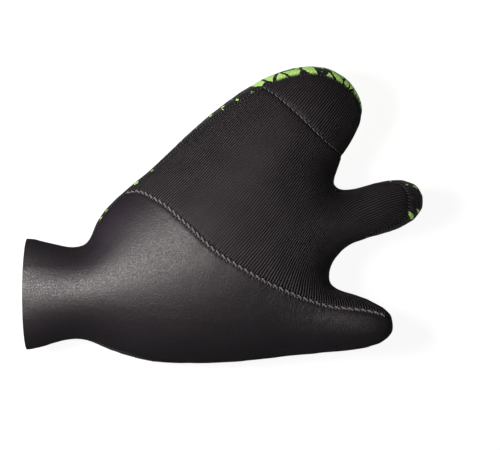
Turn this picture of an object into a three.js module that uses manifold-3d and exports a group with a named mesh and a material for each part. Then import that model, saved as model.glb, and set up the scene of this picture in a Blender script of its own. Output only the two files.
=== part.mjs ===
// A three-finger diving mitt of thick neoprene for the right hand, lying on its back with the palm up.
// One wide pocket holds three fingers, the index finger and the thumb have their own, and the cuff is open.
// It is sewn edge to edge from four panels, each a wall of foam: a ribbed grip panel, the ribbed piece over
// the fingertips, a smooth panel over the wrist and thumb, and one back panel that wraps over the tips.
// X runs from the mouth of the cuff to the index fingertip, Y to the little finger's side, and Z up.
import * as THREE from "three";
import { mergeVertices } from "three/addons/utils/BufferGeometryUtils.js";
import Module from "manifold-3d";

// Driving dimensions, in millimetres
const CUFF_LENGTH = 40; // from the mouth to the neck, where the cuff is narrowest
const MOUTH_WIDTH = 85;
const NECK_WIDTH = 68;
const BODY_LENGTH = 193; // from the neck to the line of the two crotches
const BODY_WIDTH = 180;
const MITT_LENGTH = 67; // the pocket for three fingers, past its crotch
const MITT_WIDTH = 82;
const INDEX_LENGTH = 66;
const INDEX_WIDTH = 38;
const THUMB_LENGTH = 50;
const THUMB_WIDTH = 53;
const BODY_DEPTH = 86; // at the roomiest place, as it would be without the flat that it rests on
const INDEX_DEPTH = 38;
const MITT_CURL = 13; // how far each tip curls up towards the palm
const INDEX_CURL = 8;
const THUMB_CURL = 14;
const WALL = 5; // the thickness of the foam
const SEAM_GAP = 0.3; // clearance between two panels that are sewn together
const REST_DEPTH = 5; // how much of the back is pressed flat where the mitt rests

// Lengths of the mesh edges, outside and inside
const OUTER_STEP = 9;
const INNER_STEP = 12;
const SEAM_STEP = 12; // the grid of the surface that parts palm and back
const SEAM_BLEND = 1; // how near the outline the side seam keeps strictly to its table
const SLOPE_STEP = 0.02; // over which the surface's slope is measured
const OUTLINE_SAMPLES = 200;
const SEAM_SAMPLES = 48;
const SLIDES = 5; // steps in which a vertex of the mesh finds the surface
const MARGIN = 25; // how far the cutting solids reach past the mitt

// The parts of the outline. Each has its own frame: a root, as shares of the body's length and width from
// the neck on the forearm's line, the direction that it points in, and how far its tip curls up.
const LOBES = {
  cuff: { root: [0, 0], degrees: 180, length: CUFF_LENGTH, width: MOUTH_WIDTH, curl: 0 },
  neck: { root: [0, 0], degrees: 0, length: BODY_LENGTH, width: NECK_WIDTH, curl: 0 },
  body: { root: [0, 0], degrees: 0, length: BODY_LENGTH, width: BODY_WIDTH, curl: 0 },
  mitt: { root: [0.796, 0.646], degrees: 48, length: MITT_LENGTH, width: MITT_WIDTH, curl: MITT_CURL },
  index: { root: [1.018, 0.31], degrees: 15, length: INDEX_LENGTH, width: INDEX_WIDTH, curl: INDEX_CURL },
  thumb: { root: [0.975, -0.093], degrees: -5, length: THUMB_LENGTH, width: THUMB_WIDTH, curl: THUMB_CURL },
};

// The outline seen from above the palm, clockwise from the mouth on the little finger's side. Along and
// across are shares of the lobe's length and width. Seam is how far up the side seam runs there, as a share
// of INDEX_WIDTH over the middle of the thickness.
const OUTLINE = [
  { lobe: "cuff", along: 1.8, across: -0.5, seam: 0 },
  { lobe: "cuff", along: 1, across: -0.5, seam: 0 },
  { lobe: "neck", along: 0, across: 0.51, seam: 0.05 },
  { lobe: "body", along: 0.042, across: 0.228, seam: 0.11 },
  { lobe: "body", along: 0.065, across: 0.291, seam: 0.13 },
  { lobe: "body", along: 0.1, across: 0.35, seam: 0.15 },
  { lobe: "body", along: 0.152, across: 0.407, seam: 0.16 },
  { lobe: "body", along: 0.22, across: 0.469, seam: 0.17 },
  { lobe: "body", along: 0.3, across: 0.541, seam: 0.19 },
  { lobe: "body", along: 0.396, across: 0.64, seam: 0.22 },
  { lobe: "body", along: 0.494, across: 0.735, seam: 0.285 },
  { lobe: "mitt", along: -0.05, across: 0.607, seam: 0.33 },
  { lobe: "mitt", along: 0.24, across: 0.545, seam: 0.35 },
  { lobe: "mitt", along: 0.476, across: 0.469, seam: 0.36 },
  { lobe: "mitt", along: 0.657, across: 0.378, seam: 0.35 },
  { lobe: "mitt", along: 0.823, across: 0.263, seam: 0.35 },
  { lobe: "mitt", along: 0.955, across: 0.098, seam: 0.355 },
  { lobe: "mitt", along: 0.99, across: -0.064, seam: 0.34 },
  { lobe: "mitt", along: 0.958, across: -0.224, seam: 0.29 },
  { lobe: "mitt", along: 0.865, across: -0.354, seam: 0.08 },
  { lobe: "mitt", along: 0.72, across: -0.43, seam: -0.06 },
  { lobe: "mitt", along: 0.537, across: -0.472, seam: -0.1 },
  { lobe: "mitt", along: 0.354, across: -0.5, seam: -0.08 },
  { lobe: "mitt", along: 0.149, across: -0.563, seam: -0.03 },
  { lobe: "body", along: 1, across: 0.446, seam: 0 },
  { lobe: "index", along: 0.155, across: 0.526, seam: -0.02 },
  { lobe: "index", along: 0.321, across: 0.519, seam: -0.02 },
  { lobe: "index", along: 0.525, across: 0.525, seam: 0.03 },
  { lobe: "index", along: 0.725, across: 0.503, seam: 0.16 },
  { lobe: "index", along: 0.898, across: 0.389, seam: 0.34 },
  { lobe: "index", along: 0.983, across: 0.172, seam: 0.42 },
  { lobe: "index", along: 0.987, across: -0.069, seam: 0.42 },
  { lobe: "index", along: 0.91, across: -0.291, seam: 0.37 },
  { lobe: "index", along: 0.758, across: -0.416, seam: 0.29 },
  { lobe: "index", along: 0.523, across: -0.469, seam: 0.24 },
  { lobe: "index", along: 0.246, across: -0.482, seam: 0.18 },
  { lobe: "index", along: 0.038, across: -0.517, seam: 0.08 },
  { lobe: "body", along: 1.002, across: 0.148, seam: 0 },
  { lobe: "body", along: 0.977, across: 0.076, seam: -0.02 },
  { lobe: "thumb", along: 0.003, across: 0.446, seam: -0.02 },
  { lobe: "thumb", along: 0.193, across: 0.375, seam: -0.04 },
  { lobe: "thumb", along: 0.442, across: 0.324, seam: -0.04 },
  { lobe: "thumb", along: 0.693, across: 0.251, seam: 0 },
  { lobe: "thumb", along: 0.902, across: 0.132, seam: 0.08 },
  { lobe: "thumb", along: 1.012, across: -0.01, seam: 0.12 },
  { lobe: "thumb", along: 0.976, across: -0.165, seam: 0.06 },
  { lobe: "thumb", along: 0.806, across: -0.315, seam: -0.02 },
  { lobe: "thumb", along: 0.54, across: -0.409, seam: -0.06 },
  { lobe: "thumb", along: 0.167, across: -0.49, seam: -0.04 },
  { lobe: "body", along: 0.869, across: -0.255, seam: -0.03 },
  { lobe: "body", along: 0.731, across: -0.272, seam: -0.01 },
  { lobe: "body", along: 0.593, across: -0.287, seam: 0.02 },
  { lobe: "body", along: 0.435, across: -0.293, seam: 0.05 },
  { lobe: "body", along: 0.298, across: -0.284, seam: 0.11 },
  { lobe: "body", along: 0.2, across: -0.262, seam: 0.17 },
  { lobe: "body", along: 0.11, across: -0.228, seam: 0.21 },
  { lobe: "neck", along: 0, across: -0.49, seam: 0.08 },
  { lobe: "cuff", along: 1, across: 0.5, seam: 0 },
  { lobe: "cuff", along: 1.8, across: 0.5, seam: 0 },
];

// The seam between the ribbed and the smooth panel, from the wrist to the thumb's tip. Its ends lie past
// the outline.
const THUMB_SEAM = [
  { lobe: "body", along: 0.113, across: 0.422 },
  { lobe: "body", along: 0.187, across: 0.426 },
  { lobe: "body", along: 0.239, across: 0.433 },
  { lobe: "body", along: 0.286, across: 0.41 },
  { lobe: "body", along: 0.345, across: 0.373 },
  { lobe: "body", along: 0.404, across: 0.317 },
  { lobe: "body", along: 0.455, across: 0.27 },
  { lobe: "body", along: 0.504, across: 0.217 },
  { lobe: "body", along: 0.553, across: 0.174 },
  { lobe: "body", along: 0.605, across: 0.137 },
  { lobe: "body", along: 0.665, across: 0.099 },
  { lobe: "body", along: 0.731, across: 0.059 },
  { lobe: "body", along: 0.833, across: 0.008 },
  { lobe: "thumb", along: -0.22, across: 0.2 },
  { lobe: "thumb", along: 0.033, across: 0.153 },
  { lobe: "thumb", along: 0.322, across: 0.156 },
  { lobe: "thumb", along: 0.612, across: 0.142 },
  { lobe: "thumb", along: 0.81, across: 0.102 },
  { lobe: "thumb", along: 0.97, across: 0.033 },
  { lobe: "thumb", along: 1.15, across: -0.05 },
];

// The seam across the palm side of the mitt's fingertips, with its ends past the outline.
const TIP_SEAM = [
  { lobe: "mitt", along: 0.26, across: 0.69 },
  { lobe: "mitt", along: 0.298, across: 0.46 },
  { lobe: "mitt", along: 0.315, across: 0.2 },
  { lobe: "mitt", along: 0.308, across: -0.03 },
  { lobe: "mitt", along: 0.299, across: -0.28 },
  { lobe: "mitt", along: 0.32, across: -0.45 },
  { lobe: "mitt", along: 0.33, across: -0.62 },
];

// Places a row of a table, in millimetres, with the mouth of the cuff at X = 0.
function placed({ lobe, along, across }) {
  const { root, degrees, length, width } = LOBES[lobe];
  const angle = THREE.MathUtils.degToRad(degrees);
  return new THREE.Vector2(along * length, across * width)
    .rotateAround(new THREE.Vector2(), angle)
    .add(new THREE.Vector2(CUFF_LENGTH + root[0] * BODY_LENGTH, root[1] * BODY_WIDTH));
}

// The outline as a smooth closed line. Z holds the seam's height, so that it runs smoothly too.
const outline = new THREE.CatmullRomCurve3(
  OUTLINE.map((row) => {
    const { x, y } = placed(row);
    return new THREE.Vector3(x, y, row.seam * INDEX_DEPTH);
  }),
  true,
).getPoints(OUTLINE_SAMPLES);
outline.pop();

// How roomy the outline is at a point: the harmonic mean of the distances to it in all directions. It is
// nought on the outline, negative outside, and a quarter of the width in the middle of a long strip.
function room(x, y) {
  let sum = 0;
  for (let i = 0; i < outline.length; i++) {
    const a = outline[i];
    const b = outline[(i + 1) % outline.length];
    const ax = a.x - x;
    const ay = a.y - y;
    const bx = b.x - x;
    const by = b.y - y;
    const angle = Math.atan2(ax * by - ay * bx, ax * bx + ay * by);
    sum -= Math.tan(angle / 2) * (1 / Math.hypot(ax, ay) + 1 / Math.hypot(bx, by));
  }
  return 2 / sum;
}

// The square of half the depth, for a room. It grows with the room so that a tube as wide as the index
// finger and the roomiest place of the body are as deep as their sizes say.
const bounds = new THREE.Box3().setFromPoints(outline);
const indexRoom = INDEX_WIDTH / 4;
const roomiest = placed({ lobe: "body", along: 0.6, across: 0.22 });
const bodyRoom = room(roomiest.x, roomiest.y);
const indexPuff = INDEX_DEPTH ** 2 / 4 / indexRoom;
const bodyPuff = BODY_DEPTH ** 2 / 4 / bodyRoom;
const puffGrowth = (bodyPuff - indexPuff) / (bodyRoom - indexRoom);

function halfDepthSquared(x, y) {
  const r = room(x, y);
  return r * (indexPuff + puffGrowth * (Math.abs(r) - indexRoom));
}

// Height of the middle of the thickness, which curls up towards the three tips.
function middle(x, y) {
  return Object.values(LOBES).reduce((height, { root, degrees, length, width, curl }) => {
    const from = new THREE.Vector2(
      x - CUFF_LENGTH - root[0] * BODY_LENGTH,
      y - root[1] * BODY_WIDTH,
    ).rotateAround(new THREE.Vector2(), -THREE.MathUtils.degToRad(degrees));
    const along = THREE.MathUtils.smoothstep(from.x / length, -0.9, 1.1);
    return height + curl * along * Math.exp(-2 * (from.y / width) ** 2);
  }, 0);
}

// Height of the seam between palm and back, taken from the outline's nearest stretch.
function sideSeam(x, y) {
  let weights = 0;
  let heights = 0;
  outline.forEach((p) => {
    const weight = 1 / ((p.x - x) ** 2 + (p.y - y) ** 2 + SEAM_BLEND ** 2) ** 2;
    weights += weight;
    heights += weight * p.z;
  });
  return middle(x, y) + heights / weights;
}

// The puffed form: positive inside the mitt, nought on its surface, negative outside.
function form(x, y, z) {
  return halfDepthSquared(x, y) - (z - middle(x, y)) ** 2;
}

// The outward normal at a point, and how far the surface is along it, to first order.
function slope(p) {
  const here = form(p.x, p.y, p.z);
  const normal = new THREE.Vector3(
    (here - form(p.x + SLOPE_STEP, p.y, p.z)) / SLOPE_STEP,
    (here - form(p.x, p.y + SLOPE_STEP, p.z)) / SLOPE_STEP,
    2 * (p.z - middle(p.x, p.y)),
  );
  const steepness = normal.length();
  return { normal: normal.divideScalar(steepness), away: here / steepness };
}

// Slides a point onto the form's surface, and then inwards by a depth.
function ontoSurface(p, longestSlide, depth) {
  for (let n = 0; n < SLIDES; n++) {
    const { normal, away } = slope(p);
    p.addScaledVector(normal, THREE.MathUtils.clamp(away, -longestSlide, longestSlide));
  }
  return p.addScaledVector(slope(p).normal, -depth);
}

// Covers the form with a closed mesh of roughly square faces, a depth under its surface. Every cell of a
// lattice that the surface crosses gets one vertex, and every lattice edge that it crosses gets one quad.
function skin(cell, depth) {
  const height = BODY_DEPTH + 2 * cell;
  const start = new THREE.Vector3(bounds.min.x, bounds.min.y, -height / 2).subScalar(1.5 * cell);
  const count = [bounds.max.x - start.x, bounds.max.y - start.y, height + MITT_CURL + THUMB_CURL].map(
    (length) => Math.ceil(length / cell) + 2,
  );
  const at = (i, j, k) => (i * count[1] + j) * count[2] + k;
  const inside = new Uint8Array(count[0] * count[1] * count[2]);
  for (let i = 0; i < count[0]; i++)
    for (let j = 0; j < count[1]; j++) {
      const x = start.x + i * cell;
      const y = start.y + j * cell;
      const reach = halfDepthSquared(x, y);
      const centre = middle(x, y);
      for (let k = 0; k < count[2]; k++)
        inside[at(i, j, k)] = reach > (start.z + k * cell - centre) ** 2 ? 1 : 0;
    }

  const positions = [];
  const vertexOf = new Map();
  const vertex = (i, j, k) => {
    const key = at(i, j, k);
    if (!vertexOf.has(key)) {
      const centre = new THREE.Vector3(i, j, k).addScalar(0.5).multiplyScalar(cell).add(start);
      vertexOf.set(key, positions.length / 3);
      positions.push(...ontoSurface(centre, cell, depth));
    }
    return vertexOf.get(key);
  };
  const triangles = [];
  const axes = [[1, 0, 0], [0, 1, 0], [0, 0, 1]];
  for (let i = 1; i < count[0] - 1; i++)
    for (let j = 1; j < count[1] - 1; j++)
      for (let k = 1; k < count[2] - 1; k++)
        axes.forEach(([di, dj, dk], a) => {
          const from = inside[at(i, j, k)];
          if (from === inside[at(i + di, j + dj, k + dk)]) return;
          const u = axes[(a + 1) % 3];
          const v = axes[(a + 2) % 3];
          const corner = (p, q) =>
            vertex(i - p * u[0] - q * v[0], j - p * u[1] - q * v[1], k - p * u[2] - q * v[2]);
          const quad = [corner(1, 1), corner(0, 1), corner(0, 0), corner(1, 0)];
          if (!from) quad.reverse();
          triangles.push(quad[0], quad[1], quad[2], quad[0], quad[2], quad[3]);
        });
  const geometry = new THREE.BufferGeometry();
  geometry.setAttribute("position", new THREE.Float32BufferAttribute(positions, 3));
  geometry.setIndex(triangles);
  return geometry;
}

const wasm = await Module();
wasm.setup();

// A closed three.js geometry as a solid for joining and cutting, and back.
function solid(geometry) {
  const bare = geometry.clone();
  bare.deleteAttribute("normal");
  bare.deleteAttribute("uv");
  const merged = mergeVertices(bare, 1e-4);
  return new wasm.Manifold(
    new wasm.Mesh({
      numProp: 3,
      vertProperties: merged.attributes.position.array,
      triVerts: new Uint32Array(merged.index.array),
    }),
  );
}

function geometryOf(manifold) {
  const { vertProperties, triVerts } = manifold.getMesh();
  const geometry = new THREE.BufferGeometry();
  geometry.setAttribute("position", new THREE.Float32BufferAttribute(vertProperties, 3));
  geometry.setIndex([...triVerts]);
  geometry.computeVertexNormals();
  return geometry;
}

// Everything under the side seam, for parting palm and back. The seam's height is moved up by an offset.
const top = BODY_DEPTH + MARGIN;
function blockUnderSeam(offset) {
  const size = bounds.getSize(new THREE.Vector3()).addScalar(2 * MARGIN);
  const centre = bounds.getCenter(new THREE.Vector3());
  const columns = Math.ceil(size.x / SEAM_STEP);
  const rows = Math.ceil(size.y / SEAM_STEP);
  const geometry = new THREE.BoxGeometry(size.x, size.y, 2 * top, columns, rows);
  geometry.translate(centre.x, centre.y, 0);
  const { position } = geometry.attributes;
  for (let i = 0; i < position.count; i++)
    if (position.getZ(i) > 0)
      position.setZ(i, sideSeam(position.getX(i), position.getY(i)) + offset);
  return solid(geometry);
}

// A block whose one side follows a seam of a table, seen from above, and closes through more corners. The
// seam's line is moved to its left by an offset.
function blockBeyond(seam, corners, offset) {
  const curve = new THREE.SplineCurve(seam.map(placed));
  const line = Array.from({ length: SEAM_SAMPLES + 1 }, (_, i) => {
    const along = curve.getTangent(i / SEAM_SAMPLES);
    const left = new THREE.Vector2(-along.y, along.x);
    return curve.getPoint(i / SEAM_SAMPLES).addScaledVector(left, offset);
  });
  const shape = new THREE.Shape([...line, ...corners]);
  return solid(
    new THREE.ExtrudeGeometry(shape, { depth: 2 * top, bevelEnabled: false }).translate(0, 0, -top),
  );
}

// The hollow shell, open at the mouth of the cuff and flat where it rests
const floor = -BODY_DEPTH / 2 + REST_DEPTH;
const aboveHeight = (height) =>
  solid(
    new THREE.BoxGeometry(1, 1, 1)
      .translate(0.5, 0, 0.5)
      .scale(2 * bounds.max.x, 4 * bounds.max.y, 2 * top)
      .translate(0, 0, height),
  );
const shell = solid(skin(OUTER_STEP, 0))
  .intersect(aboveHeight(floor))
  .subtract(
    solid(skin(INNER_STEP, WALL)).intersect(
      aboveHeight(floor + WALL).translate([-MARGIN, 0, 0]),
    ),
  );

// The four panels
const halfGap = SEAM_GAP / 2;
const palmSide = shell.subtract(blockUnderSeam(halfGap));
const backPanel = shell.intersect(blockUnderSeam(-halfGap));
const low = bounds.min.y - MARGIN;
const thumbCorners = [
  new THREE.Vector2(bounds.max.x + MARGIN, placed(THUMB_SEAM.at(-1)).y),
  new THREE.Vector2(bounds.max.x + MARGIN, low),
  new THREE.Vector2(bounds.min.x - MARGIN, low),
  new THREE.Vector2(bounds.min.x - MARGIN, placed(THUMB_SEAM[0]).y),
];
const tipCorners = [TIP_SEAM.at(-1), TIP_SEAM[0]].map((row) => placed({ ...row, along: 2 }));
const thumbPanel = palmSide.intersect(blockBeyond(THUMB_SEAM, thumbCorners, -halfGap));
const ribbed = palmSide.subtract(blockBeyond(THUMB_SEAM, thumbCorners, halfGap));
const tipPanel = ribbed.intersect(blockBeyond(TIP_SEAM, tipCorners, halfGap));
const gripPanel = ribbed.subtract(blockBeyond(TIP_SEAM, tipCorners, -halfGap));

const PANELS = [
  { name: "grip_panel", form: gripPanel, colour: "#2c2b2c", roughness: 0.85 },
  { name: "fingertip_panel", form: tipPanel, colour: "#2c2b2c", roughness: 0.85 },
  { name: "wrist_thumb_panel", form: thumbPanel, colour: "#2a272b", roughness: 0.5 },
  { name: "back_panel", form: backPanel, colour: "#26272a", roughness: 0.7 },
];

const mitt = new THREE.Group();
PANELS.forEach(({ name, form, colour, roughness }) => {
  const material = new THREE.MeshStandardMaterial({ color: colour, roughness, metalness: 0 });
  const mesh = new THREE.Mesh(geometryOf(form), material);
  mesh.name = name;
  mitt.add(mesh);
});

// The origin is the middle of the mitt's box, on the surface that it rests on
const box = new THREE.Box3().setFromObject(mitt, true);
const middlePoint = box.getCenter(new THREE.Vector3());
mitt.position.set(-middlePoint.x, -middlePoint.y, -box.min.z);

export default mitt;
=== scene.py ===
"""A three-finger diving mitt of thick neoprene, puffed with air and lying on its back with the palm up."""

import math

import bmesh
import bpy
import numpy as np
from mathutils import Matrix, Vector
from mathutils.bvhtree import BVHTree
from mathutils.kdtree import KDTree


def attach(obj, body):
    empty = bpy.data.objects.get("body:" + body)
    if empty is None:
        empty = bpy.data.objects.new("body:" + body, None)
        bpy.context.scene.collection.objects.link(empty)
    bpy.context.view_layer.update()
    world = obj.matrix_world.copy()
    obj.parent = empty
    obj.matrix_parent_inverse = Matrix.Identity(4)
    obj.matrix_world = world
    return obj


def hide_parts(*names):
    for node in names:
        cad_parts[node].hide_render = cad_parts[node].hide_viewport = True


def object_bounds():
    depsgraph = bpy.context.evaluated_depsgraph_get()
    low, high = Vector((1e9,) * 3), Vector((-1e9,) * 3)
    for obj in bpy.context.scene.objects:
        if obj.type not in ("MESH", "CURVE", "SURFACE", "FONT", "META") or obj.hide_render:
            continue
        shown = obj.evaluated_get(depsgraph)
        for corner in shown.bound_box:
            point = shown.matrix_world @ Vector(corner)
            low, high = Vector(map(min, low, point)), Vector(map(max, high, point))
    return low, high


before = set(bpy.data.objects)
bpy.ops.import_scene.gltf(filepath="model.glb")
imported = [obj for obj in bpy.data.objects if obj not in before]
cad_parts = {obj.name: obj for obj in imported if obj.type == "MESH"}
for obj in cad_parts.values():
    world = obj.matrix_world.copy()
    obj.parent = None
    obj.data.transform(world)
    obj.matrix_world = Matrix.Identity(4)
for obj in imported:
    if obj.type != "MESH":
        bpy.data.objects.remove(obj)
cad_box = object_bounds()
scene = bpy.context.scene

# Studio: a pale floor and wall, a soft key light over the wrist, a weak violet one from the far left, and
# a camera that looks straight down on the palm from a little over a metre.
FLOOR_HALF = 3.0
WALL_RADIUS = 2.9
CAMERA_HEIGHT = 1.24
SILHOUETTE_HEIGHT = 0.04  # of the widest outline over the floor
PICTURE_WIDTH = 0.380  # what the picture takes in from side to side at that height
PICTURE_CENTRE = (0.0198, -0.0071)
SENSOR = 36.0
FLOOR_TONE = 0.25
FLOOR_GLOW = 0.93

camera = bpy.data.objects.new("camera", bpy.data.cameras.new("camera"))
camera.location = (*PICTURE_CENTRE, CAMERA_HEIGHT)
camera.data.sensor_width = SENSOR
camera.data.lens = SENSOR * (CAMERA_HEIGHT - SILHOUETTE_HEIGHT) / PICTURE_WIDTH
scene.collection.objects.link(camera)
scene.camera = camera

floor_shape = bmesh.new()
bmesh.ops.create_grid(floor_shape, x_segments=1, y_segments=1, size=FLOOR_HALF)
floor = bpy.data.objects.new("studio_floor", bpy.data.meshes.new("studio_floor"))
floor_shape.to_mesh(floor.data)
scene.collection.objects.link(floor)
floor_paint = bpy.data.materials.new("studio_floor")
floor_paint.use_nodes = True
floor_shader = floor_paint.node_tree.nodes["Principled BSDF"]
floor_shader.inputs["Base Color"].default_value = (FLOOR_TONE, FLOOR_TONE, FLOOR_TONE, 1)
floor_shader.inputs["Roughness"].default_value = 0.9
floor_shader.inputs["Specular IOR Level"].default_value = 0.0
floor_shader.inputs["Emission Color"].default_value = (1, 1, 1, 1)
floor_shader.inputs["Emission Strength"].default_value = FLOOR_GLOW
floor.data.materials.append(floor_paint)
floor.visible_glossy = False  # the white floor would fog the black foam's edges

wall_shape = bmesh.new()
bmesh.ops.create_cone(
    wall_shape, segments=64, radius1=WALL_RADIUS, radius2=WALL_RADIUS, depth=2 * WALL_RADIUS
)
wall = bpy.data.objects.new("studio_wall", bpy.data.meshes.new("studio_wall"))
wall_shape.to_mesh(wall.data)
scene.collection.objects.link(wall)
wall.data.materials.append(floor_paint)
wall.visible_glossy = False
wall.visible_diffuse = False

scene.world = bpy.data.worlds.new("studio")
scene.world.use_nodes = True
scene.world.node_tree.nodes["Background"].inputs["Color"].default_value = (1, 1, 1, 1)
scene.world.node_tree.nodes["Background"].inputs["Strength"].default_value = 0.03
scene.view_settings.view_transform = "Standard"

LIGHTS = [
    {"name": "key", "place": (-0.275, 0.035, 0.55), "size": 0.2, "watts": 4.0, "colour": (1, 0.93, 0.91)},
    {"name": "rim", "place": (-1.4, 0.6, 0.3), "size": 0.8, "watts": 1.6, "colour": (0.85, 0.6, 1)},
]
for row in LIGHTS:
    lamp = bpy.data.lights.new(row["name"], "AREA")
    lamp.size = row["size"]
    lamp.energy = row["watts"]
    lamp.color = row["colour"]
    light = bpy.data.objects.new(row["name"], lamp)
    light.location = row["place"]
    light.rotation_euler = (-Vector(row["place"])).to_track_quat("-Z", "Y").to_euler()
    scene.collection.objects.link(light)

# The mitt's skin: foam sheets sewn edge to edge into one puffed bag, open at the cuff. One smooth outer
# surface is made over all four panels, and it is parted along their seams further down.
PANELS = ("grip_panel", "fingertip_panel", "wrist_thumb_panel", "back_panel")
GRIP, FINGERTIP, WRIST_THUMB, BACK = range(4)
SKIN_CELL = 0.003
SEAM_CLOSING = 0.0012  # the copies grow by this so that the clearance at their seams closes
PROUD = 0.001  # how far the rounded skin stands out of the faceted solids
RELAX_PASSES = 8
RELAX_STEPS = (0.5, -0.53)  # in towards the neighbours, and out again so that the form doesn't shrink
SAME_PLACE = 1e-6
RIM_TRIM = 0.0015

panel_trees = []
joined = bmesh.new()
for name in PANELS:
    copy = bmesh.new()
    copy.from_mesh(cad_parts[name].data)
    bmesh.ops.remove_doubles(copy, verts=copy.verts, dist=SAME_PLACE)
    panel_trees.append(BVHTree.FromBMesh(copy))
    copy.normal_update()
    for vertex in copy.verts:
        vertex.co += vertex.normal * SEAM_CLOSING
    grown = bpy.data.meshes.new(name + "_grown")
    copy.to_mesh(grown)
    joined.from_mesh(grown)


def shown(name, shape):
    """A new object in the scene from a bmesh or a mesh."""
    if isinstance(shape, bmesh.types.BMesh):
        mesh = bpy.data.meshes.new(name)
        shape.to_mesh(mesh)
        shape = mesh
    made = bpy.data.objects.new(name, shape)
    scene.collection.objects.link(made)
    return made


def baked(piece):
    """The piece's mesh with its modifiers, curves and simulation applied."""
    graph = bpy.context.evaluated_depsgraph_get()
    return bpy.data.meshes.new_from_object(piece.evaluated_get(graph), depsgraph=graph)


rough_skin = shown("rough_skin", joined)
remesh = rough_skin.modifiers.new("remesh", "REMESH")
remesh.mode = "VOXEL"
remesh.voxel_size = SKIN_CELL
skin = bmesh.new()
skin.from_mesh(baked(rough_skin))
bpy.data.objects.remove(rough_skin)

mouth_x = cad_box[0][0]
bmesh.ops.bisect_plane(
    skin,
    geom=skin.verts[:] + skin.edges[:] + skin.faces[:],
    dist=SAME_PLACE,
    plane_co=(mouth_x + RIM_TRIM, 0, 0),
    plane_no=(1, 0, 0),
    clear_inner=True,
)
outer = {max(skin.verts, key=lambda v: v.co.z)}
front = list(outer)
while front:
    vertex = front.pop()
    for edge in vertex.link_edges:
        other = edge.other_vert(vertex)
        if other not in outer:
            outer.add(other)
            front.append(other)
bmesh.ops.delete(skin, geom=[v for v in skin.verts if v not in outer], context="VERTS")
skin.normal_update()


def neighbour_means(values, ends):
    """The mean of what each place's neighbours have, along the edges."""
    degree = np.bincount(ends.ravel(), minlength=len(values))
    means = np.empty_like(values)
    for axis in range(values.shape[1]):
        total = np.bincount(ends[:, 0], values[ends[:, 1], axis], len(values))
        total += np.bincount(ends[:, 1], values[ends[:, 0], axis], len(values))
        means[:, axis] = total / degree
    return means


def relaxed(places, ends, passes, held):
    """Smooths places that are joined by edges, apart from the coordinates that are held."""
    for share in RELAX_STEPS * passes:
        places = places + share * (neighbour_means(places, ends) - places) * ~held
    return places


skin.verts.index_update()
ends = np.array([[v.index for v in e.verts] for e in skin.edges])
places = np.array([v.co - v.normal * (SEAM_CLOSING - PROUD) for v in skin.verts])
at_mouth = np.array([v.is_boundary for v in skin.verts])
held = np.zeros_like(places, bool)
held[:, 0] = at_mouth
places = relaxed(places, ends, RELAX_PASSES, held)
places[at_mouth, 0] = mouth_x
places[:, 2] = np.maximum(places[:, 2], 0)

# Seam fields: how far each point of the skin lies from a seam, below nought on one side of it and above
# on the other. The side seam goes round the whole mitt, the thumb seam crosses the palm, and the tip
# seam closes the patch at the end of the wide pocket.
gaps = np.array([[tree.find_nearest(Vector(p))[3] for tree in panel_trees] for p in places])
ribbed_gap = gaps[:, :WRIST_THUMB].min(axis=1)
SEAM_FIELDS = {
    "side": gaps[:, BACK] - gaps[:, :BACK].min(axis=1),
    "thumb": gaps[:, WRIST_THUMB] - ribbed_gap,
    "tip": gaps[:, FINGERTIP] - gaps[:, GRIP],
}
near_side = np.abs(SEAM_FIELDS["side"])
near_thumb = np.where(SEAM_FIELDS["side"] > 0, np.abs(SEAM_FIELDS["thumb"]), 1)
near_tip = np.where(gaps[:, WRIST_THUMB] > ribbed_gap, np.abs(SEAM_FIELDS["tip"]), 1)
near_seam = np.minimum(near_side, np.minimum(near_thumb, np.where(near_side > 0, near_tip, 1)))

# Air in the mitt: a cloth simulation blows up the bag and draws its seams in a little, which leaves soft
# puckers beside them. The mitt's overall form stays the CAD's, so only what is local in the movement is
# kept, up to a cap, and none of it at the cuff.
AIR_PRESSURE = 4.0
SIMULATION_FRAMES = 20
MOVE_CAP = 0.0025
KEPT_SHARE = 0.14  # of the local movement: the mitt is blown up tight, so its folds are nearly gone
SEAM_DRAW = 0.015  # share that the threads take up along a seam
DRAW_REACH = 0.004
LOCAL_PASSES = 30
FINE_PASSES = 3
CUFF_END = 0.045
CALM_END = 0.085

for vertex, place in zip(skin.verts, places):
    vertex.co = place
bag = shown("bag", skin)
mouth_hold = bag.vertex_groups.new(name="mouth_hold")
mouth_hold.add([int(i) for i in np.flatnonzero(at_mouth)], 1.0, "REPLACE")
drawn = bag.vertex_groups.new(name="drawn")
for index in np.flatnonzero(near_seam < DRAW_REACH):
    drawn.add([int(index)], float(1 - near_seam[index] / DRAW_REACH), "REPLACE")
cloth = bag.modifiers.new("cloth", "CLOTH")
cloth.settings.quality = 6
cloth.settings.mass = 0.001
cloth.settings.tension_stiffness = 30
cloth.settings.compression_stiffness = 30
cloth.settings.shear_stiffness = 15
cloth.settings.bending_stiffness = 8
cloth.settings.use_pressure = True
cloth.settings.uniform_pressure_force = AIR_PRESSURE
cloth.settings.vertex_group_mass = "mouth_hold"
cloth.settings.vertex_group_shrink = "drawn"
cloth.settings.shrink_max = SEAM_DRAW
cloth.settings.effector_weights.gravity = 0
cloth.collision_settings.use_collision = False
cloth.point_cache.frame_start = 1
cloth.point_cache.frame_end = SIMULATION_FRAMES
for step in range(1, SIMULATION_FRAMES + 1):
    scene.frame_set(step)
blown = np.array([v.co for v in baked(bag).vertices])
bpy.data.objects.remove(bag)
moved = blown - places
overall = moved
for k in range(LOCAL_PASSES):
    overall = (overall + neighbour_means(overall, ends)) / 2
moved = moved - overall
distance = np.linalg.norm(moved, axis=1, keepdims=True)
moved *= KEPT_SHARE * MOVE_CAP / np.maximum(distance, MOVE_CAP)
past_cuff = np.clip((places[:, :1] - mouth_x - CUFF_END) / (CALM_END - CUFF_END), 0, 1)
places = relaxed(places + moved * past_cuff, ends, FINE_PASSES, held)
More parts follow.
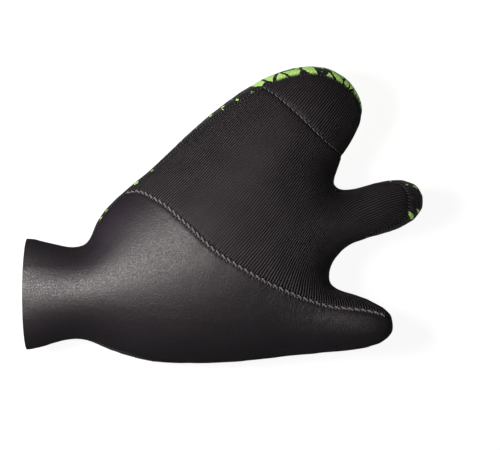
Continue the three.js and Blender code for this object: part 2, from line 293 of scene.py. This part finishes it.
places[:, 2] = np.maximum(places[:, 2], 0)

# Panel lines: edges are laid along each seam and beside it, so that the skin can be parted there and the
# groove of the seam has even sides. Then the whole skin is subdivided once.
SEAM_LINES = (0.0, 0.001, -0.001, 0.0022, -0.0022)
LINE_SNAP = 0.25
ON_LINE = 1e-6

for name in SEAM_FIELDS:
    skin.verts.layers.float.new(name)
fields = [skin.verts.layers.float[name] for name in SEAM_FIELDS]
side_field, thumb_field, tip_field = fields
skin.verts.ensure_lookup_table()
for index, vertex in enumerate(skin.verts):
    vertex.co = places[index]
    vertex.tag = False
    for field, values in zip(fields, SEAM_FIELDS.values()):
        vertex[field] = values[index]


def on_palm(vertex):
    return vertex[side_field] > -ON_LINE


def on_ribbed(vertex):
    return on_palm(vertex) and vertex[thumb_field] > -ON_LINE


def cut_along(field, level, inside):
    """Lays edges where a seam field has this level. A vertex close to the line moves onto it."""
    line = []
    for snapping in (True, False):
        for edge in skin.edges[:]:
            first, second = edge.verts
            low = first[field] - level
            high = second[field] - level
            if low * high >= 0 or not (inside(first) and inside(second)):
                continue
            share = low / (low - high)
            if not snapping:
                values = [first[f] + share * (second[f] - first[f]) for f in fields]
                split, vertex = bmesh.utils.edge_split(edge, first, share)
            else:
                vertex, other, step = (first, second, share) if share < 0.5 else (second, first, 1 - share)
                if step > LINE_SNAP or vertex.tag or (vertex.is_boundary and not edge.is_boundary):
                    continue
                values = [vertex[f] + step * (other[f] - vertex[f]) for f in fields]
                vertex.co = vertex.co.lerp(other.co, step)
            for f, value in zip(fields, values):
                vertex[f] = value
            vertex[field] = level
            vertex.tag = True
            line.append(vertex)
    bmesh.ops.connect_verts(skin, verts=line)


for level in SEAM_LINES:
    cut_along(side_field, level, lambda vertex: True)
    cut_along(thumb_field, level, on_palm)
    cut_along(tip_field, level, on_ribbed)
for face in skin.faces:
    side, thumb, tip = (sum(v[f] for v in face.verts) for f in fields)
    face.material_index = BACK if side < 0 else WRIST_THUMB if thumb < 0 else FINGERTIP if tip < 0 else GRIP

cut_skin = shown("cut_skin", skin)
finer = cut_skin.modifiers.new("finer", "SUBSURF")
finer.levels = 1
finer.render_levels = 1
skin = bmesh.new()
skin.from_mesh(baked(cut_skin))
bpy.data.objects.remove(cut_skin)
skin.verts.ensure_lookup_table()
ends = np.array([[v.index for v in e.verts] for e in skin.edges])
places = np.array([v.co for v in skin.verts])
held = np.zeros_like(places, bool)
held[:, 0] = [v.is_boundary for v in skin.verts]
places = relaxed(places, ends, FINE_PASSES, held)
places[:, 2] = np.maximum(places[:, 2], 0)
for vertex, place in zip(skin.verts, places):
    vertex.co = place
skin.normal_update()

# Sewing lines as points: each seam becomes a run of points with its normals and the length along it. The
# threads draw the foam into a groove there, and it swells a little on both sides.
STITCH_PITCH = {"palm_seam": 0.005, "fingertip_seam": 0.0045, "side_seam": 0.0025}
GROOVE_DEPTH = {"palm_seam": 0.0012, "fingertip_seam": 0.0009, "side_seam": 0.0011}
GROOVE_WIDTH = 0.0015
SWELL = 0.0001
SWELL_PLACE = 0.0048
RUN_STEP = 0.0005
RUN_SMOOTHING = 8
SEAM_REACH = 0.009
FAR_AWAY = 1.0


def seam_of(edge):
    """The seam that an edge lies on, or None."""
    sides = {face.material_index for face in edge.link_faces}
    if len(sides) < 2:
        return None
    if BACK in sides:
        return "side_seam"
    return "palm_seam" if WRIST_THUMB in sides else "fingertip_seam"


joints = {name: {} for name in STITCH_PITCH}
for edge in skin.edges:
    name = seam_of(edge)
    if name:
        for vertex in edge.verts:
            joints[name].setdefault(vertex, []).append(edge.other_vert(vertex))
runs = {}
for name, links in joints.items():
    open_ends = [v for v in links if len(links[v]) == 1]
    chain = [min(open_ends, key=lambda v: v.co.x + v.co.y)]
    passed = set(chain)
    while True:
        onward = [v for v in links[chain[-1]] if v not in passed]
        if not onward:
            break
        passed.add(onward[0])
        chain.append(onward[0])
    points = np.array([v.co for v in chain])
    normals = np.array([v.normal for v in chain])
    for k in range(RUN_SMOOTHING):
        points[1:-1] = points[1:-1] / 2 + (points[:-2] + points[2:]) / 4
        normals[1:-1] = normals[1:-1] / 2 + (normals[:-2] + normals[2:]) / 4
    length = np.concatenate([[0], np.cumsum(np.linalg.norm(np.diff(points, axis=0), axis=1))])
    at = np.arange(0, length[-1], RUN_STEP)
    points = np.stack([np.interp(at, length, points[:, k]) for k in range(3)], axis=1)
    normals = np.stack([np.interp(at, length, normals[:, k]) for k in range(3)], axis=1)
    sides = np.cross(normals, np.gradient(points, axis=0))
    sides /= np.linalg.norm(sides, axis=1, keepdims=True)
    runs[name] = {"at": at, "points": points, "normals": normals, "sides": sides}

samples = [(name, k) for name, run in runs.items() for k in range(len(run["at"]))]
near_run = KDTree(len(samples))
for number, (name, k) in enumerate(samples):
    near_run.insert(runs[name]["points"][k], number)
near_run.balance()
lift = np.zeros(len(skin.verts))
seam_place = np.full((len(skin.verts), 2), FAR_AWAY)
for index, vertex in enumerate(skin.verts):
    point, number, distance = near_run.find(vertex.co)
    if distance < SEAM_REACH:
        name, k = samples[number]
        run = runs[name]
        across = float(np.dot(vertex.co - point, run["sides"][k]))
        seam_place[index] = run["at"][k] / STITCH_PITCH[name], across
        swelling = SWELL * math.exp(-(((distance - SWELL_PLACE) / GROOVE_WIDTH) ** 2))
        lift[index] = swelling - GROOVE_DEPTH[name] * math.exp(-((distance / GROOVE_WIDTH) ** 2))
normals = np.array([v.normal for v in skin.verts])
places = np.array([v.co for v in skin.verts]) + normals * lift[:, None]
places[:, 2] = np.maximum(places[:, 2], 0)
source = skin.verts.layers.int.new("source")
skin.verts.ensure_lookup_table()
for index, place in enumerate(places):
    skin.verts[index].co = place
    skin.verts[index][source] = index
skin.normal_update()
skin_tree = BVHTree.FromBMesh(skin)

# Panels: the skin is parted into its four pieces, which press against each other at their edges, and each
# is given the thickness of the foam on the inside. Each carries a map in metres of its cloth, with the
# threads laid evenly over the puffed form, and a map of where its seams and stitches are.
FOAM = 0.005
EDGE_PRESS = 0.00012  # how far the sewn edges are pressed into each other
RIB_GUIDES = [  # where a rib lies on the palm, in mm, and its slope in degrees
    (-56, 27, 40),
    (-3, 27, 47),
    (20, -18, 45),
    (35, 65, 47),
    (73, 80, 50),
    (81, 42, 55),
    (58, -11, 55),
    (77, 12, 58),
    (81, -26, 72),
    (77, -56, 88),
    (100, -60, 88),
    (115, -68, 84),
    (107, 4, 20),
    (134, 8, 15),
]
STRAIGHT_GUIDE = [(0, 0, 45)]
GUIDE_BLUR = 0.01  # nearer than this, one guide gives way to the next
LEAST_TRUST = 0.02
SOLVER_ROUNDS = 350
FULL_TURN = 2 * math.pi
SHADE_REACH = 0.0013  # how far from a seam its shade reaches, and its puckers
PUCKER_REACH = 0.0032


def even_map(places, ends, slopes, trust):
    """A value at each place whose change along every edge comes as near as it can to what the slopes ask."""
    first, second = ends.T
    size = len(places)
    weight = (trust[first] + trust[second]) / 2
    asked = ((slopes[first] + slopes[second]) / 2 * (places[second] - places[first])).sum(axis=1)

    def gathered(flow):
        return np.bincount(second, flow, size) - np.bincount(first, flow, size)

    value = places @ slopes.mean(axis=0)
    balance = np.bincount(first, weight, size) + np.bincount(second, weight, size)
    rest = gathered(weight * asked) - gathered(weight * (value[second] - value[first]))
    step = rest / balance
    drive = rest @ step
    for k in range(SOLVER_ROUNDS):
        turned = gathered(weight * (step[second] - step[first]))
        gain = drive / (step @ turned)
        value += gain * step
        rest -= gain * turned
        eased = rest / balance
        fresh = rest @ eased
        step = eased + fresh / drive * step
        drive = fresh
    return value


def cloth_map(places, normals, ends, guides):
    """Cloth coordinates in metres, across the ribs and along them."""
    turn = np.zeros((len(places), 2))
    for x, y, slope in guides:
        away = np.hypot(places[:, 0] - x / 1000, places[:, 1] - y / 1000)
        nearness = (away**2 + GUIDE_BLUR**2) ** -1.5
        doubled = 2 * math.radians(slope)
        turn += nearness[:, None] * (math.cos(doubled), math.sin(doubled))
    angle = np.arctan2(turn[:, 1], turn[:, 0]) / 2
    along = np.stack([np.cos(angle), np.sin(angle), np.zeros_like(angle)], axis=1)
    along -= normals * (along * normals).sum(axis=1, keepdims=True)
    trust = (along**2).sum(axis=1) + LEAST_TRUST
    along /= np.linalg.norm(along, axis=1, keepdims=True) + 1e-6
    across = np.cross(normals, along)
    return np.stack([even_map(places, ends, slopes, trust) for slopes in (across, along)], axis=1)


def panel_piece(name, number, guides, paints):
    """Cuts one panel out of the skin, maps it, paints it and gives it its thickness."""
    panel = skin.copy()
    others = [face for face in panel.faces if face.material_index != number]
    bmesh.ops.delete(panel, geom=others, context="FACES")
    panel.verts.index_update()
    rows = [v[panel.verts.layers.int["source"]] for v in panel.verts]
    moves = []
    for vertex in panel.verts:
        if vertex.is_boundary and vertex.co.x > mouth_x + RIM_TRIM:
            inner = [e.other_vert(vertex) for e in vertex.link_edges if not e.is_boundary]
            if inner:
                inward = sum((v.co - vertex.co for v in inner), Vector())
                moves.append((vertex, inward.normalized() * -EDGE_PRESS))
    for vertex, move in moves:
        vertex.co += move
    for face in panel.faces:
        face.material_index = 0
        face.smooth = True
    ends = np.array([[v.index for v in e.verts] for e in panel.edges])
    cloth = cloth_map(places[rows], normals[rows], ends, guides)
    sheet = shown(name + "_sheet", panel)
    corners = np.empty(len(sheet.data.loops), int)
    sheet.data.loops.foreach_get("vertex_index", corners)
    sheet.data.uv_layers.new(name="cloth").uv.foreach_set("vector", cloth[corners].ravel())
    sheet.data.uv_layers.new(name="seam").uv.foreach_set("vector", seam_place[rows][corners].ravel())
    for paint in paints:
        sheet.data.materials.append(paint)
    wall = sheet.modifiers.new("wall", "SOLIDIFY")
    wall.thickness = FOAM
    wall.offset = -1
    wall.use_quality_normals = True
    wall.material_offset = 1
    wall.material_offset_rim = 2
    piece = shown(name, baked(sheet))
    bpy.data.objects.remove(sheet)
    piece.data.set_sharp_from_angle(angle=math.radians(60))
    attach(piece, "root")
    return piece


def tone(code):
    """A hex colour as the linear values that the nodes take."""
    parts = [int(code[k : k + 2], 16) / 255 for k in (1, 3, 5)]
    return (*[p / 12.92 if p <= 0.04045 else ((p + 0.055) / 1.055) ** 2.4 for p in parts], 1)


def add(tree, kind, values=(), **settings):
    """A new node. Values pair its inputs with numbers, colours or the sockets that feed them."""
    made = tree.nodes.new(kind)
    for label, setting in settings.items():
        setattr(made, label, setting)
    for label, value in dict(values).items():
        if isinstance(value, bpy.types.NodeSocket):
            tree.links.new(value, made.inputs[label])
        else:
            made.inputs[label].default_value = value
    return made


def calc(tree, operation, *values):
    return add(tree, "ShaderNodeMath", enumerate(values), operation=operation).outputs[0]


def blend(tree, share, low, high):
    """A colour between two others."""
    mixed = add(tree, "ShaderNodeMix", {"Factor": share}, data_type="RGBA")
    for socket, colour in ((mixed.inputs[6], low), (mixed.inputs[7], high)):
        if isinstance(colour, bpy.types.NodeSocket):
            tree.links.new(colour, socket)
        else:
            socket.default_value = colour
    return mixed.outputs[2]


def effect(name, inputs, outputs):
    """A node group, and its inputs' and outputs' sockets inside it."""
    tree = bpy.data.node_groups.new(name, "ShaderNodeTree")
    for way, sockets in (("INPUT", inputs), ("OUTPUT", outputs)):
        for label, kind in sockets.items():
            tree.interface.new_socket(label, in_out=way, socket_type="NodeSocket" + kind)
    return tree, tree.nodes.new("NodeGroupInput").outputs, tree.nodes.new("NodeGroupOutput").inputs


def paint(name, **sockets):
    """A new material with these constants on its shader."""
    made = bpy.data.materials.new(name)
    made.use_nodes = True
    shader = made.node_tree.nodes["Principled BSDF"]
    for label, value in sockets.items():
        shader.inputs[label.replace("_", " ")].default_value = value
    return made, made.node_tree, shader


def coat(tree, shader, colour, height, depth, strength):
    """Gives a shader its colour and a relief of this depth in metres."""
    tree.links.new(colour, shader.inputs["Base Color"])
    bump = add(tree, "ShaderNodeBump", {"Height": height, "Distance": depth, "Strength": strength})
    tree.links.new(bump.outputs[0], shader.inputs["Normal"])


rib_knit, taken, given = effect(
    "rib_knit",
    {"Cloth": "Vector", "Rib pitch": "Float", "Thread pitch": "Float"},
    {"Height": "Float"},
)
axes = add(rib_knit, "ShaderNodeSeparateXYZ", {0: taken["Cloth"]}).outputs
wander = add(rib_knit, "ShaderNodeTexNoise", {"Vector": taken["Cloth"], "Scale": 160.0, "Detail": 2.0})
ribs = calc(rib_knit, "DIVIDE", axes[0], taken["Rib pitch"])
ribs = calc(rib_knit, "MULTIPLY_ADD", wander.outputs[0], 0.25, ribs)
rib = calc(rib_knit, "COSINE", calc(rib_knit, "MULTIPLY", ribs, FULL_TURN))
rib = calc(rib_knit, "POWER", calc(rib_knit, "MULTIPLY_ADD", rib, 0.5, 0.5), 2.6)
shift = calc(rib_knit, "MULTIPLY", calc(rib_knit, "FLOOR", ribs), math.pi)
threads = calc(rib_knit, "DIVIDE", axes[1], taken["Thread pitch"])
thread = calc(rib_knit, "COSINE", calc(rib_knit, "MULTIPLY_ADD", threads, FULL_TURN, shift))
thread = calc(rib_knit, "MULTIPLY_ADD", thread, 0.5, 0.5)
raised = calc(rib_knit, "MULTIPLY", rib, calc(rib_knit, "MULTIPLY_ADD", thread, 0.55, 0.45))
rib_knit.links.new(raised, given["Height"])

# Beside a seam: a painted shade that fades with the distance across it, and puckers at the stitch pitch.
sewn_edge, taken, given = effect("sewn_edge", {"Seam": "Vector"}, {"Shade": "Float", "Pucker": "Float"})
axes = add(sewn_edge, "ShaderNodeSeparateXYZ", {0: taken["Seam"]}).outputs
square = calc(sewn_edge, "POWER", calc(sewn_edge, "ABSOLUTE", axes[1]), 2.0)
shade = calc(sewn_edge, "EXPONENT", calc(sewn_edge, "MULTIPLY", square, -1 / SHADE_REACH**2))
pull = calc(sewn_edge, "EXPONENT", calc(sewn_edge, "MULTIPLY", square, -1 / PUCKER_REACH**2))
beat = calc(sewn_edge, "COSINE", calc(sewn_edge, "MULTIPLY", axes[0], FULL_TURN))
sewn_edge.links.new(shade, given["Shade"])
sewn_edge.links.new(calc(sewn_edge, "MULTIPLY", pull, beat), given["Pucker"])


def knit_height(tree, rib_pitch, thread_pitch):
    """How high a ribbed knit stands, laid along the panel's cloth map."""
    cloth = add(tree, "ShaderNodeUVMap", uv_map="cloth").outputs[0]
    values = {"Cloth": cloth, "Rib pitch": rib_pitch, "Thread pitch": thread_pitch}
    return add(tree, "ShaderNodeGroup", values, node_tree=rib_knit).outputs["Height"]


def seam_shade_and_puckers(tree):
    """The painted shade and the puckers beside a seam, as sockets."""
    seam = add(tree, "ShaderNodeUVMap", uv_map="seam").outputs[0]
    marks = add(tree, "ShaderNodeGroup", {"Seam": seam}, node_tree=sewn_edge).outputs
    return marks["Shade"], marks["Pucker"]


foam_paint, tree, shader = paint("cut_foam", Roughness=0.85, Specular_IOR_Level=0.2)
here = add(tree, "ShaderNodeTexCoord").outputs["Object"]
bubbles = add(tree, "ShaderNodeTexVoronoi", {"Vector": here, "Scale": 1800.0}).outputs["Distance"]
# Darker at the middle of each bubble: painted shade in the pores, which the bump also sinks.
coat(tree, shader, blend(tree, bubbles, tone("#1a191b"), tone("#343336")), bubbles, 0.0001, 0.6)

jersey_paint, tree, shader = paint("inner_jersey", Roughness=0.9, Specular_IOR_Level=0.15, Sheen_Weight=0.1)
weave = knit_height(tree, 0.0011, 0.0009)
# Darker where the weave is low: painted shade between the threads.
coat(tree, shader, blend(tree, weave, tone("#141416"), tone("#2b2b2e")), weave, 0.00015, 0.7)

# The ribbed palm and its tip patch: coarse ribbed knit laminated on the foam, near black, with fine threads
# across the ribs. Its colour carries painted shade in the grooves and painted light on the ridges.
RIB_PITCH = 0.00175
THREAD_PITCH = 0.0012
GROOVE_SHADE_TONE = "#080708"
RIDGE_LIT_TONE = "#585356"

ribbed_paint, tree, shader = paint("ribbed_knit", Roughness=0.48, Specular_IOR_Level=0.22)
here = add(tree, "ShaderNodeTexCoord").outputs["Object"]
weave = knit_height(tree, RIB_PITCH, THREAD_PITCH)
shade, pucker = seam_shade_and_puckers(tree)
mottle = add(tree, "ShaderNodeTexNoise", {"Vector": here, "Scale": 60.0, "Detail": 4.0}).outputs[0]
# Painted light and shade: ridges lighter and grooves darker, by a share that a random mottle varies.
ridge_light_and_mottle = calc(tree, "MULTIPLY", weave, calc(tree, "MULTIPLY_ADD", mottle, 0.9, 0.55))
colour = blend(tree, ridge_light_and_mottle, tone(GROOVE_SHADE_TONE), tone(RIDGE_LIT_TONE))
# Painted shade along the seam's groove, beside the stitches.
colour = blend(tree, calc(tree, "MULTIPLY", shade, 0.7), colour, tone("#0b0a0b"))
height = calc(tree, "MULTIPLY_ADD", pucker, 0.5, weave)
coat(tree, shader, colour, height, 0.00045, 1.0)

PALM_PAINTS = (ribbed_paint, jersey_paint, foam_paint)
ribbed_palm = panel_piece("ribbed_palm", GRIP, RIB_GUIDES, PALM_PAINTS)
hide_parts("grip_panel")
ribbed_tip = panel_piece("ribbed_tip", FINGERTIP, RIB_GUIDES, PALM_PAINTS)
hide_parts("fingertip_panel")

# The wrist and thumb panel: smooth-skinned foam with a satin shine, a fine grain, and faint wrinkles where
# the thumb leaves the palm.
WRINKLE_PLACE = (0.056, -0.066, 0.065)
WRINKLE_REACH = 0.018
smooth_paint, tree, shader = paint("smooth_foam_skin", Roughness=0.48, Specular_IOR_Level=0.75)
here = add(tree, "ShaderNodeTexCoord").outputs["Object"]
shade, pucker = seam_shade_and_puckers(tree)
mottle = add(tree, "ShaderNodeTexNoise", {"Vector": here, "Scale": 35.0, "Detail": 5.0}).outputs[0]
grain = add(
    tree,
    "ShaderNodeTexNoise",
    {"Vector": here, "Scale": 1000.0, "Detail": 2.0, "Roughness": 0.7},
).outputs[0]
grain = add(tree, "ShaderNodeMapRange", {"Value": grain, "From Min": 0.35, "From Max": 0.65}).outputs[0]
creases = add(
    tree,
    "ShaderNodeTexNoise",
    {"Vector": here, "Scale": 260.0, "Detail": 4.0, "Distortion": 0.6},
).outputs[0]
colour = blend(tree, mottle, tone("#0c0a0d"), tone("#171319"))
colour = blend(tree, calc(tree, "MULTIPLY", grain, 0.6), colour, tone("#2a252b"))
# Painted shade along the seam's groove, beside the stitches.
colour = blend(tree, calc(tree, "MULTIPLY", shade, 0.7), colour, tone("#0a090a"))
gloss = calc(tree, "MULTIPLY_ADD", grain, -0.28, calc(tree, "MULTIPLY_ADD", mottle, 0.08, 0.59))
tree.links.new(gloss, shader.inputs["Roughness"])
away = add(tree, "ShaderNodeVectorMath", {0: here, 1: WRINKLE_PLACE}, operation="DISTANCE").outputs["Value"]
wrinkled = calc(tree, "MULTIPLY", calc(tree, "POWER", away, 2.0), -1 / WRINKLE_REACH**2)
wrinkled = calc(tree, "EXPONENT", wrinkled)
folds = add(
    tree,
    "ShaderNodeTexWave",
    {"Vector": here, "Scale": 75.0, "Distortion": 9.0, "Detail": 3.0, "Detail Scale": 1.5},
).outputs["Fac"]
folds = calc(tree, "MULTIPLY", folds, calc(tree, "MULTIPLY", wrinkled, 1.4))
height = calc(tree, "MULTIPLY_ADD", grain, 1.2, calc(tree, "MULTIPLY_ADD", creases, 1.5, folds))
height = calc(tree, "MULTIPLY_ADD", pucker, 1.2, height)
coat(tree, shader, colour, height, 0.00009, 0.9)

SMOOTH_PAINTS = (smooth_paint, jersey_paint, foam_paint)
smooth_panel = panel_piece("smooth_wrist_and_thumb", WRIST_THUMB, STRAIGHT_GUIDE, SMOOTH_PAINTS)
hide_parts("wrist_thumb_panel")

# The back: plain knit on foam, printed with lime shards between black lines. They are whole at the end of
# the wide pocket and shrink to a few flecks towards the fingers and the wrist.
SHARD_SIZE = 0.0095
FLECK_SPACING = 0.0085
LIME_TONE = "#d0fc94"
PRINT_CENTRE = (0.07, 0.1, 0.03)
PRINT_FULL = 0.045  # as far as this from its centre the print is whole, and beyond the next it is thin
PRINT_THIN = 0.075
FLECK_START = (-0.095, -0.025)  # flecks lie beyond this along and across the mitt
printed_paint, tree, shader = paint(
    "printed_knit", Roughness=0.75, Specular_IOR_Level=0.25, Sheen_Weight=0.08
)
cloth = add(tree, "ShaderNodeUVMap", uv_map="cloth").outputs[0]
here = add(tree, "ShaderNodeTexCoord").outputs["Object"]
weave = knit_height(tree, 0.0012, 0.0009)
shade, pucker = seam_shade_and_puckers(tree)
away = add(tree, "ShaderNodeVectorMath", {0: here, 1: PRINT_CENTRE}, operation="DISTANCE").outputs["Value"]
thin = add(
    tree,
    "ShaderNodeMapRange",
    {"Value": away, "From Min": PRINT_FULL, "From Max": PRINT_THIN},
).outputs[0]
cells = {"Vector": cloth, "Scale": 1 / SHARD_SIZE}
shard = add(tree, "ShaderNodeTexVoronoi", cells, voronoi_dimensions="2D").outputs["Color"]
rim = add(tree, "ShaderNodeTexVoronoi", cells, voronoi_dimensions="2D", feature="DISTANCE_TO_EDGE").outputs[0]
pick = add(tree, "ShaderNodeSeparateColor", {0: shard}).outputs[0]
kept = calc(tree, "GREATER_THAN", pick, calc(tree, "MULTIPLY_ADD", thin, 0.6, 0.1))
inside = calc(tree, "GREATER_THAN", rim, calc(tree, "MULTIPLY_ADD", thin, 0.55, 0.11))
cells = {"Vector": cloth, "Scale": 1 / FLECK_SPACING}
spots = add(tree, "ShaderNodeTexVoronoi", cells, voronoi_dimensions="2D", distance="MANHATTAN").outputs
pick = add(tree, "ShaderNodeSeparateColor", {0: spots["Color"]}).outputs[0]
fleck = calc(tree, "LESS_THAN", spots["Distance"], calc(tree, "MULTIPLY_ADD", pick, 0.32, -0.04))
axes = add(tree, "ShaderNodeSeparateXYZ", {0: here}).outputs
for axis, start in zip(axes, FLECK_START):
    fleck = calc(tree, "MULTIPLY", fleck, calc(tree, "GREATER_THAN", axis, start))
printed = calc(tree, "MAXIMUM", calc(tree, "MULTIPLY", kept, inside), fleck)
# Darker where the weave is low, in the knit and in the print: painted shade between the threads.
knit = blend(tree, weave, tone("#0e0d0f"), tone("#2c2a2e"))
lime = blend(tree, weave, tone("#b4ee74"), tone(LIME_TONE))
colour = blend(tree, printed, knit, lime)
# Painted shade along the seam's groove, beside the stitches.
colour = blend(tree, calc(tree, "MULTIPLY", shade, 0.8), colour, tone("#0d0d0e"))
coat(tree, shader, colour, calc(tree, "MULTIPLY_ADD", pucker, 1.2, weave), 0.0002, 0.8)

PRINTED_PAINTS = (printed_paint, jersey_paint, foam_paint)
printed_back = panel_piece("printed_back", BACK, STRAIGHT_GUIDE, PRINTED_PAINTS)
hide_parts("back_panel")

# Stitches: raised threads over each seam, their ends sunk in the foam. The palm seam has long slanted ones
# and short returns, the tip seam dashes along it, and the side seam small ones straight across.
THREAD_SINK = 0.0004
THREAD_RISE = 0.0003
THREAD_POINTS = (0, 0.2, 0.5, 0.8, 1)  # where along a stitch its points are
DROP = 0.004  # the points are dropped on the skin from this height
STITCHES = [  # ends as (share of the pitch along, mm across), and half the thread's thickness in mm
    {"seam": "palm_seam", "start": (0.05, 0.9), "end": (0.85, -0.5), "radius": 0.62},
    {"seam": "palm_seam", "start": (0.1, 0.2), "end": (0.2, -1.7), "radius": 0.24},
    {"seam": "palm_seam", "start": (0.6, 0.0), "end": (0.7, -1.7), "radius": 0.24},
    {"seam": "fingertip_seam", "start": (0.1, 0.3), "end": (0.8, -0.2), "radius": 0.36},
    {"seam": "side_seam", "start": (0.3, -1.0), "end": (0.6, 1.1), "radius": 0.3},
]
STITCH_SLOTS = {
    "palm_seam": "ribbed_fabric",
    "fingertip_seam": "ribbed_fabric",
    "side_seam": "printed_fabric",
}
STITCH_TONES = {"palm_seam": "#a09a9d", "fingertip_seam": "#8a8688", "side_seam": "#7d7980"}

for seam_name, slot in STITCH_SLOTS.items():
    run = runs[seam_name]
    pitch = STITCH_PITCH[seam_name]
    threads = bpy.data.curves.new(seam_name + "_threads", "CURVE")
    threads.dimensions = "3D"
    threads.bevel_depth = 0.001
    threads.bevel_resolution = 1
    threads.use_fill_caps = True
    for row in [r for r in STITCHES if r["seam"] == seam_name]:
        for number in range(int(run["at"][-1] / pitch) - 1):
            line = threads.splines.new("POLY")
            line.points.add(len(THREAD_POINTS) - 1)
            for share, point in zip(THREAD_POINTS, line.points):
                along = (number + row["start"][0] + share * (row["end"][0] - row["start"][0])) * pitch
                across = (row["start"][1] + share * (row["end"][1] - row["start"][1])) / 1000
                k = int(along / RUN_STEP)
                out = Vector(run["normals"][k]).normalized()
                above = Vector(run["points"][k] + run["sides"][k] * across) + out * DROP
                hit = skin_tree.ray_cast(above, -out)[0] or above - out * DROP
                rise = THREAD_RISE if 0 < share < 1 else -THREAD_SINK
                point.co = (*(hit + out * rise), 1)
                point.radius = row["radius"]
    sewn = bpy.data.objects.new(seam_name + "_sewn", threads)
    scene.collection.objects.link(sewn)
    stitches = shown(seam_name + "_stitches", baked(sewn))
    bpy.data.objects.remove(sewn)
    stitches.data.shade_smooth()
    thread_paint, tree, shader = paint(seam_name + "_thread", Roughness=0.6, Specular_IOR_Level=0.35)
    here = add(tree, "ShaderNodeTexCoord").outputs["Object"]
    fuzz = add(tree, "ShaderNodeTexNoise", {"Vector": here, "Scale": 2200.0, "Detail": 2.0}).outputs[0]
    colour = blend(tree, fuzz, tone("#353235"), tone(STITCH_TONES[seam_name]))
    coat(tree, shader, colour, fuzz, 0.0001, 0.6)
    stitches.data.materials.clear()
    stitches.data.materials.append(thread_paint)
    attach(stitches, "root")
